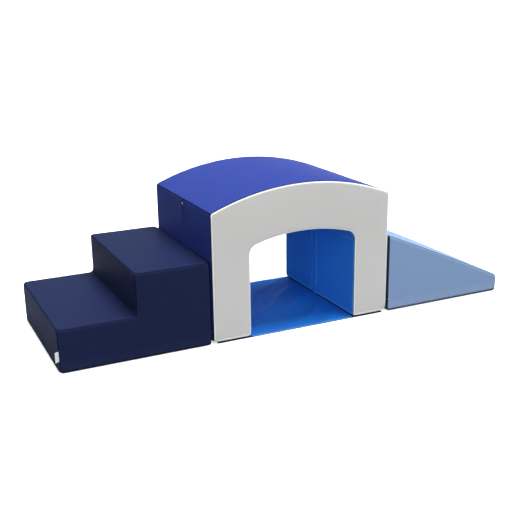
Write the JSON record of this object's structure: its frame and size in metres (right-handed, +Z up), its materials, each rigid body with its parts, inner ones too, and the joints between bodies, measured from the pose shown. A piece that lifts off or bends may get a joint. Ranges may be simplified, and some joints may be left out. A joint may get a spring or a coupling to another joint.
{
  "type": "soft play foam climber",
  "caption": "Soft play foam climber: a stepped block, an arched crawl-through tunnel on a thin mat and a ramp, foam cores in sewn zipped covers joined by hook-and-loop strips.",
  "frame": {"origin": "on the floor, under the middle of the tunnel: the middle of the floor mat's underside", "axes": "+X along the row from the steps over the tunnel to the ramp, -Y to the front, +Z up"},
  "size_m": [2.0173, 0.625, 0.61],
  "materials": {
    "navy_cover": "navy coated fabric, fine leather grain, soft satin",
    "royal_cover": "royal blue coated fabric, fine leather grain, soft satin",
    "grey_cover": "light grey coated fabric, fine leather grain, soft satin",
    "blue_cover": "medium blue coated fabric, fine leather grain, soft satin",
    "powder_cover": "powder blue coated fabric, fine leather grain, soft satin",
    "foam": "open-cell polyurethane foam, cream",
    "zip_tape": "woven polyester zip tape with nylon coil, dark navy",
    "zip_metal": "nickel-plated zip slider",
    "loop_tape": "black brushed loop tape",
    "hook_tape": "black woven hook tape",
    "tag_cloth": "bare white woven tag"
  },
  "bodies": {
    "tunnel": {"tunnel_foam_core": "foam", "tunnel_front_panel": "grey_cover", "tunnel_rear_panel": "grey_cover", "tunnel_roof_panel": "royal_cover", "tunnel_ceiling_panel": "blue_cover", "tunnel_left_outer_wall_front": "royal_cover", "tunnel_left_outer_wall_rear": "royal_cover", "tunnel_left_inner_wall_front": "blue_cover", "tunnel_left_inner_wall_rear": "blue_cover", "tunnel_left_foot_front": "royal_cover", "tunnel_left_foot_rear": "royal_cover", "tunnel_left_zip_tape_front": "zip_tape", "tunnel_left_zip_tape_rear": "zip_tape", "tunnel_left_outer_flap": "royal_cover", "tunnel_left_inner_flap": "blue_cover", "tunnel_left_loop_strip_front": "loop_tape", "tunnel_left_loop_strip_rear": "loop_tape", "tunnel_right_outer_wall_front": "royal_cover", "tunnel_right_outer_wall_rear": "royal_cover", "tunnel_right_inner_wall_front": "blue_cover", "tunnel_right_inner_wall_rear": "blue_cover", "tunnel_right_foot_front": "royal_cover", "tunnel_right_foot_rear": "royal_cover", "tunnel_right_zip_tape_front": "zip_tape", "tunnel_right_zip_tape_rear": "zip_tape", "tunnel_right_outer_flap": "royal_cover", "tunnel_right_inner_flap": "blue_cover", "tunnel_right_loop_strip_front": "loop_tape", "tunnel_right_loop_strip_rear": "loop_tape", "mat_cover": "blue_cover", "mat_foam": "foam"},
    "tunnel_left_slider": {"tunnel_left_zip_slider": "zip_metal"},
    "tunnel_right_slider": {"tunnel_right_zip_slider": "zip_metal"},
    "steps": {"steps_foam_core": "foam", "steps_front_panel": "navy_cover", "steps_rear_panel": "navy_cover", "steps_lower_riser": "navy_cover", "steps_lower_tread": "navy_cover", "steps_upper_riser": "navy_cover", "steps_upper_tread": "navy_cover", "steps_end_panel": "navy_cover", "steps_base_panel": "navy_cover", "steps_zip_tape_upper": "zip_tape", "steps_zip_tape_lower": "zip_tape", "steps_hook_strip_front": "hook_tape", "steps_hook_strip_rear": "hook_tape", "steps_fabric_tag": "tag_cloth"},
    "steps_slider": {"steps_zip_slider": "zip_metal"},
    "ramp": {"ramp_foam_core": "foam", "ramp_front_panel": "powder_cover", "ramp_rear_panel": "powder_cover", "ramp_slide_panel": "powder_cover", "ramp_nose_panel": "powder_cover", "ramp_end_panel": "powder_cover", "ramp_base_panel": "powder_cover", "ramp_zip_tape_upper": "zip_tape", "ramp_zip_tape_lower": "zip_tape", "ramp_hook_strip_front": "hook_tape", "ramp_hook_strip_rear": "hook_tape"},
    "ramp_slider": {"ramp_zip_slider": "zip_metal"}
  },
  "joints": [
    {"name": "steps_pull_away", "type": "slide", "parent": "tunnel", "child": "steps", "axis": [-1, 0, 0], "range_m": [0, 0.4]},
    {"name": "ramp_pull_away", "type": "slide", "parent": "tunnel", "child": "ramp", "axis": [1, 0, 0], "range_m": [0, 0.4]},
    {"name": "tunnel_left_zip", "type": "slide", "parent": "tunnel", "child": "tunnel_left_slider", "axis": [0, 0, -1], "range_m": [0, 0.467]},
    {"name": "tunnel_right_zip", "type": "slide", "parent": "tunnel", "child": "tunnel_right_slider", "axis": [0, 0, -1], "range_m": [0, 0.467]},
    {"name": "steps_zip", "type": "slide", "parent": "steps", "child": "steps_slider", "axis": [0, 1, 0], "range_m": [0, 0.57]},
    {"name": "ramp_zip", "type": "slide", "parent": "ramp", "child": "ramp_slider", "axis": [0, 1, 0], "range_m": [0, 0.57]}
  ]
}
